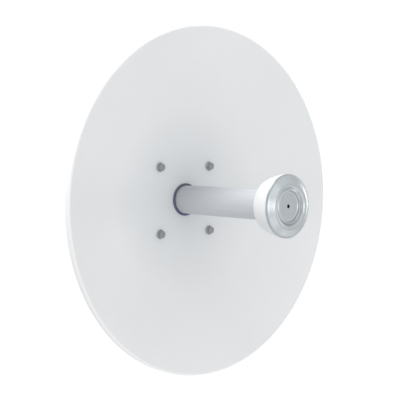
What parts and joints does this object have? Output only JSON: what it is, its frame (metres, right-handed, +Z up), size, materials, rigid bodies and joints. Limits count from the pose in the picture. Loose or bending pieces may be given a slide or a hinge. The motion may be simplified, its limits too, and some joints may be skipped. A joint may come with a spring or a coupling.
{
  "type": "microwave dish antenna",
  "caption": "Round white microwave dish with a tube feed and splash disc in front, radio housing and tilting pole bracket behind.",
  "frame": {"origin": "on the flat rear face of the pole bracket, level with the dish's axis", "axes": "+Z up, +Y out of the pole bracket's rear face towards the pole, -Y the way the dish looks, +X to the right seen from the front"},
  "size_m": [0.65, 0.4703, 0.65],
  "materials": {
    "dish_paint": "smooth satin white powder coat",
    "tube_paint": "satin pale grey",
    "collar_violet": "dark blue-violet moulding",
    "cup_white": "white moulded dielectric",
    "disc_metal": "satin spun metal",
    "zinc_steel": "dull stainless",
    "bracket_steel": "pale grey coated steel",
    "housing_cast": "pale grey fine-textured casting",
    "seal_black": "black moulding"
  },
  "bodies": {
    "root": {"cable_gland": "seal_black", "dish_bolt_lower_left": "zinc_steel", "dish_bolt_lower_right": "zinc_steel", "dish_bolt_upper_left": "zinc_steel", "dish_bolt_upper_right": "zinc_steel", "dish_bracket": "bracket_steel", "dish_nut_lower_left": "zinc_steel", "dish_nut_lower_right": "zinc_steel", "dish_nut_upper_left": "zinc_steel", "dish_nut_upper_right": "zinc_steel", "feed_collar": "collar_violet", "feed_tube": "tube_paint", "housing_cover": "housing_cast", "housing_screw_left": "zinc_steel", "housing_screw_right": "zinc_steel", "lock_bolt_left": "zinc_steel", "lock_bolt_right": "zinc_steel", "lock_nut_left": "zinc_steel", "lock_nut_right": "zinc_steel", "lock_washer_left": "zinc_steel", "lock_washer_right": "zinc_steel", "pivot_bolt_left": "zinc_steel", "pivot_bolt_right": "zinc_steel", "pivot_nut_left": "zinc_steel", "pivot_nut_right": "zinc_steel", "pole_bracket": "bracket_steel", "pole_nut_lower_left": "zinc_steel", "pole_nut_lower_right": "zinc_steel", "pole_nut_upper_left": "zinc_steel", "pole_nut_upper_right": "zinc_steel", "pole_ubolt_lower": "zinc_steel", "pole_ubolt_upper": "zinc_steel", "port_cover": "seal_black", "radio_housing": "housing_cast", "reflector_dish": "dish_paint", "subreflector_cup": "cup_white", "subreflector_plate": "disc_metal"}
  },
  "joints": []
}
